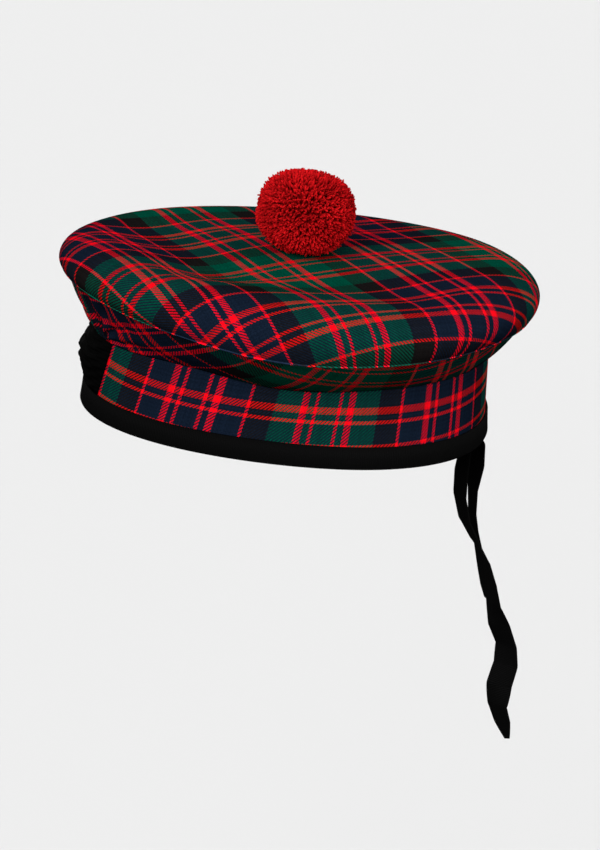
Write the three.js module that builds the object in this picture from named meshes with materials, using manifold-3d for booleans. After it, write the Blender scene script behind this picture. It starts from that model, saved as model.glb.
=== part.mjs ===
// Balmoral bonnet: a wide soft tartan crown set on an upright headband, with a ribbon-bound
// rim, a ruched black panel at the front, a yarn toorie on top and two ribbon tails behind.
//
// Millimetres. +Z is up, -X is the front, +X the back and -Y the wearer's left. The origin is
// the middle of the head opening, in the plane of the rim. Angles go round the hat in degrees
// from the back, so 180 is the front and 270 the wearer's left.

import * as THREE from "three";
import Module from "manifold-3d";

const wasm = await Module();
wasm.setup();

// ---- driving dimensions -------------------------------------------------------------------

const GAP = 0.3; // clearance kept between neighbouring pieces
const AROUND = 60; // columns of every skin that goes right round the hat
const STEP = 360 / AROUND;

// Outer oval of the bound rim: egg widens it to the back, corners fills it between the axes
const RIM = { middle: 0, halfLength: 100.6, halfWidth: 80.6, egg: 0.09, corners: 0.028 };
const CLOTH = 2; // wall of the tartan pieces
const RIBBON = 1; // wall of the black ribbon pieces

const BINDING_HEIGHT = 11.2; // height of the ribbon folded over the edge of the band
const BAND_FOOT = 1.6; // lowest edge of the band, inside the fold of the binding
const BAND_IN_AT_BINDING = 0.9; // how far the binding leans in at its top

const PANEL_HALF_ANGLE = 25.4; // the band is open this far to each side of the front at its foot
const PANEL_FLARE = 3.6; // and this much further at its top

// Oval of the crown at its widest level, and the flat round the toorie in the middle of its top
const CROWN = { middle: 2.2, halfLength: 117.4, halfWidth: 109, egg: 0.03, corners: 0 };
const CROWN_TOP = { height: 82.6, flatShare: 0.12 };

// Section through one side of the hat, one row for every 30 degrees from the back. crest is the
// height of the top of the rolled edge, widest the height of its outermost line, depth how far
// the crest lies inside that line, seam the height of the edge seam, which is tucked in by the
// amount in tuck, and band the height of the headband's top edge, which leans in by the amount
// in lean.
const SECTIONS = [
  { at: 0, crest: 84, widest: 70, depth: 27, seam: 61, tuck: 4.4, band: 40.4, lean: 3.2 },
  { at: 30, crest: 82, widest: 68, depth: 27, seam: 60, tuck: 5.0, band: 39.6, lean: 3.6 },
  { at: 60, crest: 79, widest: 66, depth: 27, seam: 59, tuck: 5.0, band: 39.0, lean: 4.2 },
  { at: 90, crest: 78, widest: 65, depth: 27, seam: 58, tuck: 5.0, band: 38.0, lean: 4.6 },
  { at: 120, crest: 79.5, widest: 66, depth: 27, seam: 60, tuck: 5.0, band: 38.6, lean: 4.8 },
  { at: 150, crest: 82.5, widest: 69, depth: 26, seam: 64, tuck: 4.0, band: 38.6, lean: 4.8 },
  { at: 180, crest: 84.5, widest: 72, depth: 24, seam: 68, tuck: 2.6, band: 38.0, lean: 4.8 },
  { at: 210, crest: 87, widest: 73, depth: 24, seam: 68, tuck: 3.0, band: 38.4, lean: 4.8 },
  { at: 240, crest: 87, widest: 71, depth: 25, seam: 64, tuck: 3.5, band: 40.2, lean: 4.8 },
  { at: 270, crest: 84, widest: 68, depth: 27, seam: 59, tuck: 2.5, band: 36.2, lean: 4.8 },
  { at: 300, crest: 83, widest: 68, depth: 27, seam: 60, tuck: 3.0, band: 39.0, lean: 4.4 },
  { at: 330, crest: 84, widest: 71, depth: 27, seam: 62, tuck: 4.5, band: 41.4, lean: 3.6 },
];

// Dents in the top of the crown: each is a trough along a line between two places
const DENTS = [
  { name: "behind the front roll", fromX: -72, fromY: 24, toX: -40, toY: -40, depth: 7, width: 20 },
  { name: "along the left side", fromX: -40, fromY: -40, toX: 50, toY: -52, depth: 2.5, width: 18 },
];

// Gathers in the crown's underside where the front panel draws it in
const GATHERS = [
  { at: 196, depth: 2.4, width: 3.2 },
  { at: 205, depth: 2.8, width: 3.0 },
  { at: 213, depth: 2.4, width: 2.8 },
  { at: 222, depth: 1.6, width: 3.0 },
];

// ---- small helpers ------------------------------------------------------------------------

const radians = THREE.MathUtils.degToRad;

// Value of one column of the table of sections, smooth from row to row
function section(column, degrees) {
  const count = SECTIONS.length;
  const place = ((degrees % 360) + 360) / 360 * count;
  const row = Math.floor(place);
  const t = place - row;
  const at = (n) => SECTIONS[(n + count) % count][column];
  const [a, b, c, d] = [at(row - 1), at(row), at(row + 1), at(row + 2)];
  return b + 0.5 * t * (c - a + t * (2 * a - 5 * b + 4 * c - d + t * (3 * (b - c) + d - a)));
}

// Point of an oval, drawn in by an amount all round
function ovalPoint(oval, degrees, inset, height) {
  const c = Math.cos(radians(degrees));
  const s = Math.sin(radians(degrees));
  const full = 1 + oval.corners * (2 * c * s) ** 2;
  const x = oval.middle + (oval.halfLength - inset) * c * full;
  const y = (oval.halfWidth - inset) * s * full * (1 + oval.egg * c);
  return new THREE.Vector3(x, y, height);
}

// Smooth hump of height 1, a given half-width across
const hump = (distance, width) => Math.exp(-((distance / width) ** 2));

// Depth of the dents at a place on the top of the crown
function dentDepth(x, y) {
  let depth = 0;
  for (const dent of DENTS) {
    const run = new THREE.Vector2(dent.toX - dent.fromX, dent.toY - dent.fromY);
    const off = new THREE.Vector2(x - dent.fromX, y - dent.fromY);
    const t = THREE.MathUtils.clamp(off.dot(run) / run.lengthSq(), 0, 1);
    depth += dent.depth * hump(off.distanceTo(run.multiplyScalar(t)), dent.width);
  }
  return depth;
}

// Geometry from a list of points and a list of triangles
function meshFrom(points, triangles) {
  const geometry = new THREE.BufferGeometry();
  const flat = points.flatMap((p) => [p.x, p.y, p.z]);
  geometry.setAttribute("position", new THREE.Float32BufferAttribute(flat, 3));
  geometry.setIndex(triangles.flat());
  geometry.computeVertexNormals();
  return geometry;
}

// Wall between two skins on one grid of rows and columns, closed along its free edges.
// `closed` joins the last column to the first; `pole` gathers the first row into one point.
function wall(outer, inner, { closed = false, pole = false } = {}) {
  const rows = outer.length;
  const columns = outer[0].length;
  const points = [...outer.flat(), ...inner.flat()];
  const skin = rows * columns;
  const place = (side, row, column) => {
    const wrapped = pole && row === 0 ? 0 : column % columns;
    return side * skin + row * columns + wrapped;
  };
  const triangles = [];
  const quad = (a, b, c, d) => triangles.push([a, b, c], [a, c, d]);
  const last = closed ? columns : columns - 1;
  for (let column = 0; column < last; column += 1) {
    for (let row = 0; row + 1 < rows; row += 1) {
      for (const side of [0, 1]) {
        const corners = [
          place(side, row, column),
          place(side, row + 1, column),
          place(side, row + 1, column + 1),
          place(side, row, column + 1),
        ];
        quad(...(side ? corners.reverse() : corners));
      }
    }
    const end = rows - 1;
    const next = column + 1;
    quad(place(0, end, column), place(1, end, column), place(1, end, next), place(0, end, next));
    if (!pole) quad(place(0, 0, next), place(1, 0, next), place(1, 0, column), place(0, 0, column));
  }
  if (!closed) {
    for (let row = 0; row + 1 < rows; row += 1) {
      const end = columns - 1;
      quad(place(0, row, 0), place(1, row, 0), place(1, row + 1, 0), place(0, row + 1, 0));
      quad(place(0, row + 1, end), place(1, row + 1, end), place(1, row, end), place(0, row, end));
    }
  }
  const whole = triangles.filter(([a, b, c]) => a !== b && b !== c && c !== a);
  return tidied(points, whole);
}

// Drops points that no triangle uses
function tidied(points, triangles) {
  const used = new Map();
  const kept = [];
  const renumber = (n) => {
    if (!used.has(n)) {
      used.set(n, kept.length);
      kept.push(points[n]);
    }
    return used.get(n);
  };
  return meshFrom(kept, triangles.map((triangle) => triangle.map(renumber)));
}

// Skin set in from another by the wall's thickness, along the first skin's normals. With
// `level` the wall's end rows are cut level, to meet a neighbour edge to edge.
function setIn(skin, thickness, { closed = false, pole = false, level = false } = {}) {
  const rows = skin.length;
  const columns = skin[0].length;
  return skin.map((line, row) =>
    line.map((point, column) => {
      if (pole && row === 0) return point.clone().setZ(point.z - thickness);
      const before = closed ? (column + columns - 1) % columns : Math.max(column - 1, 0);
      const after = closed ? (column + 1) % columns : Math.min(column + 1, columns - 1);
      const along = line[after].clone().sub(line[before]);
      const down = skin[Math.min(row + 1, rows - 1)][column].clone();
      down.sub(skin[Math.max(row - 1, 0)][column]);
      const normal = down.cross(along).normalize();
      const atEnd = row === rows - 1 || row === 0;
      if (level && atEnd) normal.setZ(0).divideScalar(normal.lengthSq());
      return point.clone().addScaledVector(normal, -thickness);
    }),
  );
}

// Grid of points: one row for each entry of `levels`, one column for each of `angles`
const grid = (levels, angles, point) => levels.map((level) => angles.map((angle) => point(level, angle)));
const steps = (count, from = 0, to = 1) =>
  Array.from({ length: count + 1 }, (_, n) => from + (to - from) * n / count);
const ROUND = Array.from({ length: AROUND }, (_, n) => n * STEP);

const material = (name, color, roughness) =>
  new THREE.MeshStandardMaterial({ name, color, roughness, metalness: 0 });
const TARTAN = material("tartan", 0x1c3a34, 0.85);
const TARTAN_BAND = material("tartan_band", 0x24283a, 0.85);
const BLACK_RIBBON = material("black_ribbon", 0x0a0a0b, 0.7);
const YARN = material("yarn", 0xc41414, 0.95);

const bonnet = new THREE.Group();
bonnet.name = "balmoral_bonnet";

function add(name, geometry, finish) {
  const mesh = new THREE.Mesh(geometry, finish);
  mesh.name = name;
  bonnet.add(mesh);
}

// ---- crown --------------------------------------------------------------------------------

// Point of the crown's top: `level` goes from 0 in the middle to 1 at the crest of the roll,
// and on to 2 at the seam
function crownPoint(level, degrees) {
  const roll = (column) => section(column, degrees);
  const crestInset = roll("depth");
  const rise = roll("crest") - roll("widest");
  if (level <= 1) {
    const point = ovalPoint(CROWN, degrees, crestInset, 0);
    point.lerp(new THREE.Vector3(CROWN.middle, 0, 0), 1 - level);
    const lift = THREE.MathUtils.smootherstep(level, CROWN_TOP.flatShare, 1);
    point.z = CROWN_TOP.height + (roll("crest") - CROWN_TOP.height) * lift;
    point.z -= dentDepth(point.x, point.y);
    return point;
  }
  const drop = roll("widest") - roll("seam");
  const under = Math.acos(1 - roll("tuck") / crestInset);
  const turn = THREE.MathUtils.lerp(Math.PI / 2, -under, level - 1);
  const inset = crestInset * (1 - Math.cos(turn));
  const height = turn > 0
    ? roll("widest") + rise * Math.sin(turn)
    : roll("widest") + drop * Math.sin(turn) / Math.sin(under);
  const point = ovalPoint(CROWN, degrees, inset, height);
  const fade = Math.max(Math.sin(turn), 0) ** 2;
  point.z -= dentDepth(point.x, point.y) * fade;
  return point;
}

const TOP_LEVELS = [...steps(7, 0, 7 / 8), ...steps(9, 1, 2)]; // over the top, then down the roll
const topOuter = grid(TOP_LEVELS, ROUND, crownPoint);
const topSides = { closed: true, pole: true, level: true };
add("crown_top", wall(topOuter, setIn(topOuter, CLOTH, topSides), topSides), TARTAN);

// Underside: from just below the seam, in and down to just above the band
const UNDERSIDE_SAG = 1.6; // how far the cloth bellies out below a straight line
function undersidePoint(level, degrees) {
  const seam = crownPoint(2, degrees);
  seam.z -= GAP;
  const foot = ovalPoint(RIM, degrees, section("lean", degrees), section("band", degrees) + GAP);
  const point = seam.clone().lerp(foot, level);
  const belly = Math.sin(Math.PI * level);
  point.z -= UNDERSIDE_SAG * belly;
  let gather = 0;
  for (const fold of GATHERS) gather += fold.depth * hump(degrees - fold.at, fold.width);
  const outward = new THREE.Vector3(point.x, point.y, 0).normalize();
  return point.addScaledVector(outward, -gather * belly);
}

const undersideOuter = grid(steps(5), ROUND, undersidePoint);
const undersideSides = { closed: true, level: true };
const undersideInner = setIn(undersideOuter, CLOTH, undersideSides);
add("crown_underside", wall(undersideOuter, undersideInner, undersideSides), TARTAN);

// ---- headband -----------------------------------------------------------------------------

const BAND_BEHIND_BINDING = RIBBON + GAP; // the band's face lies this far inside the rim oval

// Half-angle of the front opening, at a share of the height from the binding up to the crown
function openAngle(share) {
  return PANEL_HALF_ANGLE + PANEL_FLARE * share;
}

function bandPoint(level, column, depth = 0) {
  const angleAt = (share) => column * (180 - openAngle(share)) / (180 - PANEL_HALF_ANGLE);
  const top = section("band", angleAt(1));
  const height = THREE.MathUtils.lerp(top, BAND_FOOT, level);
  const above = THREE.MathUtils.clamp((height - BINDING_HEIGHT) / (top - BINDING_HEIGHT), 0, 1);
  const below = THREE.MathUtils.clamp(height / BINDING_HEIGHT, 0, 1);
  const degrees = angleAt(above);
  const inset = BAND_BEHIND_BINDING + BAND_IN_AT_BINDING * below
    + (section("lean", degrees) - BAND_BEHIND_BINDING - BAND_IN_AT_BINDING) * above;
  return ovalPoint(RIM, degrees, inset + depth, height);
}

const BAND_ANGLES = steps(64, PANEL_HALF_ANGLE - 180, 180 - PANEL_HALF_ANGLE);
const BAND_LEVELS = [0, 0.35, 0.7, 1];
const bandOuter = grid(BAND_LEVELS, BAND_ANGLES, (level, angle) => bandPoint(level, angle));
const bandInner = grid(BAND_LEVELS, BAND_ANGLES, (level, angle) => bandPoint(level, angle, CLOTH));
add("headband", wall(bandOuter, bandInner), TARTAN_BAND);

// ---- rim binding --------------------------------------------------------------------------

// Section of the folded ribbon, as inset from the rim oval and height, going round the section
const INNER_LEG = 2 * RIBBON + 2 * GAP + CLOTH;
const INNER_HEIGHT = BINDING_HEIGHT - 1; // the inner leg stops short of the outer one
const EASE = 1; // bevel where the ribbon turns under the rim
const BINDING_SECTION = [
  { inset: 0, height: EASE },
  { inset: BAND_IN_AT_BINDING, height: BINDING_HEIGHT },
  { inset: BAND_IN_AT_BINDING + RIBBON, height: BINDING_HEIGHT },
  { inset: RIBBON, height: RIBBON },
  { inset: INNER_LEG - RIBBON, height: RIBBON },
  { inset: INNER_LEG - RIBBON + BAND_IN_AT_BINDING, height: INNER_HEIGHT },
  { inset: INNER_LEG + BAND_IN_AT_BINDING, height: INNER_HEIGHT },
  { inset: INNER_LEG, height: EASE },
  { inset: INNER_LEG - EASE, height: 0 },
  { inset: EASE, height: 0 },
];

// Solid swept round the hat by a closed profile
function sweptRound(profile) {
  const points = profile.flatMap(({ inset, height }) =>
    ROUND.map((degrees) => ovalPoint(RIM, degrees, inset, height)));
  const triangles = [];
  for (let side = 0; side < profile.length; side += 1) {
    const next = (side + 1) % profile.length;
    for (let column = 0; column < AROUND; column += 1) {
      const after = (column + 1) % AROUND;
      const [a, b] = [side * AROUND + column, side * AROUND + after];
      const [c, d] = [next * AROUND + column, next * AROUND + after];
      triangles.push([a, b, d], [a, d, c]);
    }
  }
  return meshFrom(points, triangles);
}

add("rim_binding", sweptRound(BINDING_SECTION), BLACK_RIBBON);

// ---- ruched panel -------------------------------------------------------------------------

const PANEL_EDGE = 0.5; // clearance to each end of the band, in degrees
const PANEL_FOOT = BINDING_HEIGHT + GAP;
const PANEL_WALL = 2;
const PANEL_RECESS = 1; // the panel's edges lie this far behind the face of the band
const RIPPLE = 0.6; // upright gathers across the panel
// Puffs of the gathered ribbon, from the crown down to the binding
const PUFFS = [
  { at: 0.12, out: 2.4, width: 0.16 },
  { at: 0.46, out: 7.0, width: 0.24 },
  { at: 0.82, out: 2.2, width: 0.18 },
];

function panelPoint(level, across) {
  const degrees = 180 + across * (openAngle(1 - level) - PANEL_EDGE);
  const top = section("band", degrees) - GAP;
  const height = THREE.MathUtils.lerp(top, PANEL_FOOT, level);
  const foot = BAND_BEHIND_BINDING + BAND_IN_AT_BINDING;
  const lean = THREE.MathUtils.lerp(section("lean", degrees), foot, level);
  const fullness = 1 - across ** 4;
  let puff = 0;
  for (const row of PUFFS) puff += row.out * hump(level - row.at, row.width);
  const ripple = RIPPLE * Math.cos(radians(across * 540));
  return ovalPoint(RIM, degrees, lean + PANEL_RECESS - (puff + ripple) * fullness, height);
}

const panelOuter = grid(steps(10), steps(18, -1, 1), panelPoint);
add("ruched_panel", wall(panelOuter, setIn(panelOuter, PANEL_WALL)), BLACK_RIBBON);

// ---- ribbon tails -------------------------------------------------------------------------

// Middle line of each tail from its sewn end down: `turn` is how far the ribbon's face has
// twisted, 0 facing the back of the hat and 90 facing its side, and `width` its breadth
const LONG_TAIL = [
  { x: 93.2, y: -8, z: 9, turn: -7, width: 13 },
  { x: 93.0, y: -8, z: -2, turn: -4, width: 13 },
  { x: 90.6, y: -8, z: -12, turn: 26, width: 13 },
  { x: 90.0, y: -7, z: -22, turn: 32, width: 13 },
  { x: 90.4, y: -6, z: -34, turn: 30, width: 13 },
  { x: 93.4, y: -7, z: -46, turn: 26, width: 13 },
  { x: 99.4, y: -8, z: -56, turn: 22, width: 13 },
  { x: 106.2, y: -8, z: -66, turn: 14, width: 13 },
  { x: 110.2, y: -7, z: -78, turn: 18, width: 13 },
  { x: 112.0, y: -5, z: -90, turn: 32, width: 13 },
  { x: 116.0, y: -3, z: -102, turn: 58, width: 13 },
  { x: 120.6, y: -1, z: -113, turn: 52, width: 13 },
  { x: 121.4, y: 0, z: -124, turn: 66, width: 13 },
  { x: 119.2, y: 0, z: -135, turn: 78, width: 13 },
  { x: 119.2, y: 0, z: -146, turn: 46, width: 13 },
  { x: 122.6, y: 0, z: -155, turn: 48, width: 11 },
  { x: 126.0, y: 0, z: -164, turn: 56, width: 3 },
];
const SHORT_TAIL = [
  { x: 93.4, y: 8, z: 9, turn: 7, width: 13 },
  { x: 93.6, y: 8, z: -1, turn: 10, width: 13 },
  { x: 96.4, y: 8, z: -10, turn: 36, width: 13 },
  { x: 97.2, y: 8, z: -21, turn: 34, width: 13 },
  { x: 96.6, y: 8, z: -34, turn: 20, width: 13 },
  { x: 97.4, y: 8, z: -46, turn: 16, width: 13 },
  { x: 99.0, y: 9, z: -56, turn: 20, width: 13 },
  { x: 102.4, y: 9, z: -66, turn: 17, width: 13 },
  { x: 105.4, y: 10, z: -78, turn: 20, width: 13 },
  { x: 107.6, y: 10, z: -87, turn: 22, width: 11 },
  { x: 108.8, y: 10, z: -93, turn: 22, width: 4 },
];

// Flat ribbon along a tail's middle line
function tail(table, stepsAlong) {
  const spine = new THREE.CatmullRomCurve3(table.map(({ x, y, z }) => new THREE.Vector3(x, y, z)));
  const lines = steps(stepsAlong).map((t) => {
    const place = t * (table.length - 1);
    const row = Math.min(Math.floor(place), table.length - 2);
    const mix = (column) => THREE.MathUtils.lerp(table[row][column], table[row + 1][column], place - row);
    const middle = spine.getPoint(t);
    const tangent = spine.getTangent(t);
    const turn = radians(mix("turn"));
    const across = new THREE.Vector3(Math.sin(turn), -Math.cos(turn), 0);
    across.addScaledVector(tangent, -across.dot(tangent)).normalize();
    const face = across.clone().cross(tangent).normalize();
    const half = mix("width") / 2;
    const corner = (side, skin) =>
      middle.clone().addScaledVector(across, side * half).addScaledVector(face, skin * RIBBON / 2);
    return { outer: [corner(1, 1), corner(-1, 1)], inner: [corner(1, -1), corner(-1, -1)] };
  });
  return wall(lines.map((line) => line.outer), lines.map((line) => line.inner));
}

add("tail_long", tail(LONG_TAIL, 45), BLACK_RIBBON);
add("tail_short", tail(SHORT_TAIL, 27), BLACK_RIBBON);

// ---- toorie -------------------------------------------------------------------------------

const TOORIE = { x: 2.7, halfWidth: 24.4, halfHeight: 21, locks: 54, lockRoot: 6.4, lockTip: 3.6 };
const CORE_SHARE = 0.86; // radius of the ball under the locks, as a share of the whole
const ROOT_SHARE = 0.7; // where the locks start inside that ball

// Manifold solid from a closed three.js geometry
function solid(geometry) {
  const places = geometry.getAttribute("position");
  const merged = new Map();
  const vertProperties = [];
  const renumbered = [];
  for (let n = 0; n < places.count; n += 1) {
    const values = [places.getX(n), places.getY(n), places.getZ(n)];
    const key = values.map((value) => value.toFixed(4)).join(" ");
    if (!merged.has(key)) {
      merged.set(key, merged.size);
      vertProperties.push(...values);
    }
    renumbered.push(merged.get(key));
  }
  const corners = geometry.index ? [...geometry.index.array] : renumbered.map((_, n) => n);
  const triVerts = [];
  for (let n = 0; n < corners.length; n += 3) {
    const [a, b, c] = [corners[n], corners[n + 1], corners[n + 2]].map((corner) => renumbered[corner]);
    if (a !== b && b !== c && c !== a) triVerts.push(a, b, c);
  }
  const mesh = new wasm.Mesh({
    numProp: 3,
    vertProperties: Float32Array.from(vertProperties),
    triVerts: Uint32Array.from(triVerts),
  });
  return new wasm.Manifold(mesh);
}

function toorie() {
  const scale = new THREE.Vector3(1, 1, TOORIE.halfHeight / TOORIE.halfWidth);
  const centre = new THREE.Vector3(TOORIE.x, 0, crownPoint(0, 0).z + GAP + TOORIE.halfHeight);
  const place = (geometry) => geometry.scale(scale.x, scale.y, scale.z).translate(...centre.toArray());
  let ball = solid(place(new THREE.IcosahedronGeometry(TOORIE.halfWidth * CORE_SHARE, 3)));
  const goldenTurn = Math.PI * (3 - Math.sqrt(5));
  for (let n = 0; n < TOORIE.locks; n += 1) {
    const z = 1 - 2 * (n + 0.5) / TOORIE.locks;
    const ring = Math.sqrt(1 - z * z);
    const turn = n * goldenTurn;
    const direction = new THREE.Vector3(ring * Math.cos(turn), ring * Math.sin(turn), z);
    const root = TOORIE.halfWidth * ROOT_SHARE;
    const length = TOORIE.halfWidth - root;
    const lock = new THREE.CylinderGeometry(TOORIE.lockTip, TOORIE.lockRoot, length, 4);
    lock.translate(0, root + length / 2, 0);
    lock.applyQuaternion(new THREE.Quaternion().setFromUnitVectors(new THREE.Vector3(0, 1, 0), direction));
    ball = ball.add(solid(place(lock)));
  }
  const { vertProperties, triVerts } = ball.getMesh();
  const points = [];
  for (let n = 0; n < vertProperties.length; n += 3) {
    points.push(new THREE.Vector3(...vertProperties.slice(n, n + 3)));
  }
  const triangles = [];
  for (let n = 0; n < triVerts.length; n += 3) triangles.push([...triVerts.slice(n, n + 3)]);
  return meshFrom(points, triangles);
}

add("toorie", toorie(), YARN);

export default bonnet;
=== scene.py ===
"""Balmoral bonnet: a wide soft tartan crown on an upright headband, with a ribbon-bound rim, a
ruched black panel at the front, a yarn toorie on top and two ribbon tails behind.

Tables and shape functions are in millimetres, the scene in metres. +Z is up, -X is the front,
+X the back and -Y the wearer's left. Angles go round the hat in degrees from the back, so 180
is the front and 270, or -90, the wearer's left. The origin is the middle of the head opening,
in the plane of the rim.
"""

import math

import bpy
import numpy as np
from mathutils import Matrix, Vector


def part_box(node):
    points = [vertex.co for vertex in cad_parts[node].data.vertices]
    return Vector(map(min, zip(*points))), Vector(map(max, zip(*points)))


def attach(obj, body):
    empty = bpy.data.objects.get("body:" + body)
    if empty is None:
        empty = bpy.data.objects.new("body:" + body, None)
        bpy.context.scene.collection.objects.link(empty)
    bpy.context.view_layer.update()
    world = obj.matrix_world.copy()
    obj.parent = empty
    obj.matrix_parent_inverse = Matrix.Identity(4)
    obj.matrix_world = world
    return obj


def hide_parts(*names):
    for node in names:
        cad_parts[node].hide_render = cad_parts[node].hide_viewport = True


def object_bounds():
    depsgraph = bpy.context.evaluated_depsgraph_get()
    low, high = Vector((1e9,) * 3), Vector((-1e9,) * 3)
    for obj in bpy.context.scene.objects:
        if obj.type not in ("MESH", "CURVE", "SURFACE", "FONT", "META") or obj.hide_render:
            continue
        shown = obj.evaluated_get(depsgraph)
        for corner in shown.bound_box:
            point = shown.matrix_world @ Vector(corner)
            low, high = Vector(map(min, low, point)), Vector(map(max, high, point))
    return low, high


bl_info = {
    "name": "Balmoral Bonnet",
    "version": (1, 0, 0),
    "blender": (4, 5, 0),
    "location": "View3D > Sidebar > Bonnet",
    "description": "Builds a tartan bonnet with a ribbon-bound rim, a toorie and ribbon tails",
    "category": "Add Mesh",
}

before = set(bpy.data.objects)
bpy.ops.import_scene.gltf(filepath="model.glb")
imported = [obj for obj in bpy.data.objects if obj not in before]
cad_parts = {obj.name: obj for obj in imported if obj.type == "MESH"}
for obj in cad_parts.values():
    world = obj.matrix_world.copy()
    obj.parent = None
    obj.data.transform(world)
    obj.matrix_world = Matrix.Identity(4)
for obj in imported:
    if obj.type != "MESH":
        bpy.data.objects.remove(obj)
CAD_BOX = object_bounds()
MM = 0.001

# ---- shape of the hat ---------------------------------------------------------------------

GAP = 0.3  # clearance between neighbouring pieces
RIM = {"middle": 0, "half_length": 100.6, "half_width": 80.6, "egg": 0.09, "corners": 0.028}
CROWN = {"middle": 2.2, "half_length": 117.4, "half_width": 109, "egg": 0.03, "corners": 0}
CROWN_TOP = {"height": 82.6, "flat_share": 0.12}
BINDING_HEIGHT = 11.2
BAND_FOOT = 1.6
BAND_IN_AT_BINDING = 0.9
BAND_BEHIND_BINDING = 1.3
PANEL_HALF_ANGLE = 25.4  # the band is open this far to each side of the front at its foot
PANEL_FLARE = 4.8  # and this much further at its top

# Section through one side of the hat, one row for every 30 degrees from the back. crest is the
# height of the top of the rolled edge, widest the height of its outermost line, depth how far
# the crest lies inside that line, seam the height of the edge seam, which is tucked in by the
# amount in tuck, and band the height of the headband's top edge, which leans in by lean.
SECTIONS = [
    {"at": 0, "crest": 84, "widest": 70, "depth": 27, "seam": 61, "tuck": 4.4, "band": 40.4, "lean": 3.2},
    {"at": 30, "crest": 82, "widest": 68, "depth": 27, "seam": 60, "tuck": 5.0, "band": 39.6, "lean": 3.6},
    {"at": 60, "crest": 79, "widest": 66, "depth": 27, "seam": 59, "tuck": 5.0, "band": 39.0, "lean": 4.2},
    {"at": 90, "crest": 78, "widest": 65, "depth": 27, "seam": 58, "tuck": 5.0, "band": 38.0, "lean": 4.6},
    {"at": 120, "crest": 79.5, "widest": 66, "depth": 27, "seam": 60, "tuck": 5.0, "band": 38.6, "lean": 4.8},
    {"at": 150, "crest": 82.5, "widest": 69, "depth": 26, "seam": 64, "tuck": 4.0, "band": 38.6, "lean": 4.8},
    {"at": 180, "crest": 84.5, "widest": 72, "depth": 24, "seam": 68, "tuck": 2.6, "band": 38.0, "lean": 4.8},
    {"at": 210, "crest": 87, "widest": 73, "depth": 24, "seam": 68, "tuck": 3.0, "band": 38.4, "lean": 4.8},
    {"at": 240, "crest": 87, "widest": 71, "depth": 25, "seam": 64, "tuck": 3.5, "band": 40.2, "lean": 4.8},
    {"at": 270, "crest": 84, "widest": 68, "depth": 27, "seam": 59, "tuck": 2.5, "band": 36.2, "lean": 4.8},
    {"at": 300, "crest": 83, "widest": 68, "depth": 27, "seam": 60, "tuck": 3.0, "band": 39.0, "lean": 4.4},
    {"at": 330, "crest": 84, "widest": 71, "depth": 27, "seam": 62, "tuck": 4.5, "band": 41.4, "lean": 3.6},
]

# Dents in the top of the crown: each is a trough along a line between two places
DENTS = [
    {"from_x": -72, "from_y": 24, "to_x": -40, "to_y": -40, "depth": 5.5, "width": 27},
    {"from_x": -40, "from_y": -40, "to_x": 50, "to_y": -52, "depth": 2.5, "width": 24},
]

# Gathers in the crown's underside where the front panel draws it in
GATHERS = [
    {"at": 196, "depth": 2.4, "width": 3.2},
    {"at": 205, "depth": 2.8, "width": 3.0},
    {"at": 213, "depth": 2.4, "width": 2.8},
    {"at": 222, "depth": 1.6, "width": 3.0},
]


def section(column, degrees):
    """Value of one column of the table of sections, smooth from row to row."""
    values = np.array([row[column] for row in SECTIONS], float)
    place = np.asarray(degrees, float) % 360 / 360 * len(values)
    row = np.floor(place).astype(int)
    t = place - row
    a, b, c, d = (values[(row + n) % len(values)] for n in (-1, 0, 1, 2))
    return b + 0.5 * t * (c - a + t * (2 * a - 5 * b + 4 * c - d + t * (3 * (b - c) + d - a)))


def oval_point(oval, degrees, inset, height):
    """Point of an oval, drawn in by an amount all round."""
    c, s = np.cos(np.radians(degrees)), np.sin(np.radians(degrees))
    full = 1 + oval["corners"] * (2 * c * s) ** 2
    x = oval["middle"] + (oval["half_length"] - inset) * c * full
    y = (oval["half_width"] - inset) * s * full * (1 + oval["egg"] * c)
    return np.stack(np.broadcast_arrays(x, y, height), -1)


def hump(distance, width):
    """Smooth hump of height 1, a given half-width across."""
    return np.exp(-((distance / width) ** 2))


def smoothed(value, low, high):
    """0 below low, 1 above high, and smooth between them."""
    t = np.clip((value - low) / (high - low), 0, 1)
    return t * t * t * (t * (t * 6 - 15) + 10)


def dent_depth(x, y):
    """Depth of the dents at a place on the top of the crown."""
    depth = 0
    for dent in DENTS:
        run = np.array([dent["to_x"] - dent["from_x"], dent["to_y"] - dent["from_y"]])
        off_x, off_y = x - dent["from_x"], y - dent["from_y"]
        t = np.clip((off_x * run[0] + off_y * run[1]) / (run @ run), 0, 1)
        depth = depth + dent["depth"] * hump(np.hypot(off_x - run[0] * t, off_y - run[1] * t), dent["width"])
    return depth


def crown_point(level, degrees):
    """Point of the crown's top: level is 0 in the middle, 1 at the crest of the roll, 2 at the seam."""
    level, degrees = np.broadcast_arrays(np.asarray(level, float), np.asarray(degrees, float))
    inset, crest, widest = (section(name, degrees) for name in ("depth", "crest", "widest"))
    middle = np.array([CROWN["middle"], 0, 0])
    top = middle + (oval_point(CROWN, degrees, inset, 0.0) - middle) * np.minimum(level, 1)[..., None]
    lift = smoothed(level, CROWN_TOP["flat_share"], 1)
    top[..., 2] = CROWN_TOP["height"] + (crest - CROWN_TOP["height"]) * lift
    top[..., 2] -= dent_depth(top[..., 0], top[..., 1])

    under = np.arccos(1 - section("tuck", degrees) / inset)
    turn = np.pi / 2 - (under + np.pi / 2) * (level - 1)
    above = widest + (crest - widest) * np.sin(turn)
    below = widest + (widest - section("seam", degrees)) * np.sin(turn) / np.sin(under)
    roll = oval_point(CROWN, degrees, inset * (1 - np.cos(turn)), np.where(turn > 0, above, below))
    roll[..., 2] -= dent_depth(roll[..., 0], roll[..., 1]) * np.maximum(np.sin(turn), 0) ** 2
    return np.where((level > 1)[..., None], roll, top)


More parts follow.
